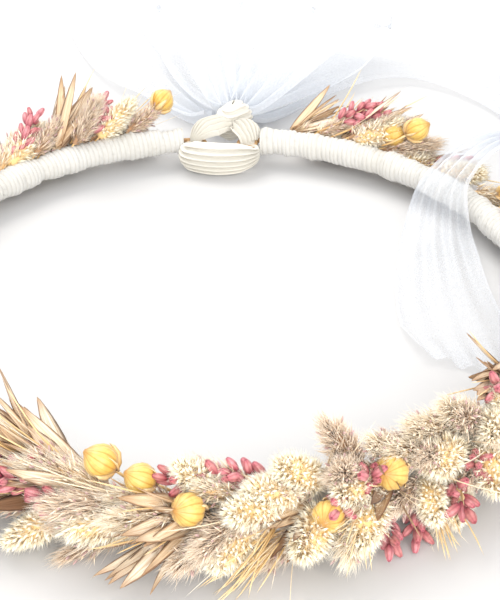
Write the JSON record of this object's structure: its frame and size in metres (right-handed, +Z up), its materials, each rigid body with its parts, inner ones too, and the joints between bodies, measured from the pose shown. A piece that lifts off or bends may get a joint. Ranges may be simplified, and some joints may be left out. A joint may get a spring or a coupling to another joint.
{
  "type": "flower crown",
  "caption": "Dried-flower crown: a yarn-wound wire ring with grasses, husks, pods and buds bound round it, closed at the back by a sheer ribbon bow.",
  "frame": {"origin": "on the table under the middle of the whole piece's box, ribbon bow included", "axes": "+Z up from the table, +Y from the front of the garland to the bow at the back, +X to the right as seen from the front"},
  "size_m": [0.2528, 0.3542, 0.0334],
  "materials": {
    "florist_wire": "paper-covered florist's wire, dull brown",
    "white_yarn": "soft white cotton yarn, wound close, matte",
    "organza": "sheer white organza, faint sheen",
    "bunny_tail": "bleached cream grass heads, dense soft hair",
    "grass_plume": "greige and taupe grass plumes, silky hair",
    "flax_pods": "dry golden seed capsules, ribbed and slightly translucent",
    "pink_buds": "dyed pink dried buds with dark red recesses, matte",
    "husk_fan": "papery beige husk blades with brown edges and fine stripes",
    "straw_bunch": "golden straw stalks and awns, satin"
  },
  "bodies": {
    "right_half": {"wire_right": "florist_wire", "yarn_wrap_right": "white_yarn", "ribbon_tie": "organza", "ribbon_knot": "organza", "bow_loop_left": "organza", "bow_loop_right": "organza", "ribbon_tail_left": "organza", "ribbon_tail_right": "organza", "husk_fan_01": "husk_fan", "pink_buds_01": "pink_buds", "husk_fan_02": "husk_fan", "flax_pods_01": "flax_pods", "straw_bunch_01": "straw_bunch", "bunny_tail_01": "bunny_tail", "grass_plume_01": "grass_plume", "pink_buds_02": "pink_buds", "flax_pods_02": "flax_pods", "grass_plume_02": "grass_plume", "bunny_tail_02": "bunny_tail", "husk_fan_03": "husk_fan", "pink_buds_03": "pink_buds", "bunny_tail_03": "bunny_tail", "husk_fan_04": "husk_fan", "pink_buds_04": "pink_buds", "grass_plume_03": "grass_plume", "bunny_tail_04": "bunny_tail", "grass_plume_04": "grass_plume", "bunny_tail_05": "bunny_tail", "bunny_tail_06": "bunny_tail", "straw_bunch_02": "straw_bunch", "bunny_tail_07": "bunny_tail"},
    "left_half": {"wire_left": "florist_wire", "yarn_wrap_left": "white_yarn", "husk_fan_05": "husk_fan", "flax_pods_03": "flax_pods", "bunny_tail_08": "bunny_tail", "husk_fan_06": "husk_fan", "husk_fan_07": "husk_fan", "pink_buds_05": "pink_buds", "grass_plume_05": "grass_plume", "grass_plume_06": "grass_plume", "straw_bunch_03": "straw_bunch", "bunny_tail_09": "bunny_tail", "bunny_tail_10": "bunny_tail", "flax_pods_04": "flax_pods", "pink_buds_06": "pink_buds", "grass_plume_07": "grass_plume", "grass_plume_08": "grass_plume", "husk_fan_08": "husk_fan", "husk_fan_09": "husk_fan", "grass_plume_09": "grass_plume", "grass_plume_10": "grass_plume", "pink_buds_07": "pink_buds", "bunny_tail_11": "bunny_tail", "pink_buds_08": "pink_buds", "grass_plume_11": "grass_plume", "flax_pods_05": "flax_pods"}
  },
  "joints": [
    {"name": "ring_flex", "type": "hinge", "parent": "right_half", "child": "left_half", "pos_m": [-0.007, -0.1502, 0.0088], "axis": [0, 0, 1], "range_deg": [-2.2, 1.8], "deforming": ["ribbon_tie"]}
  ]
}
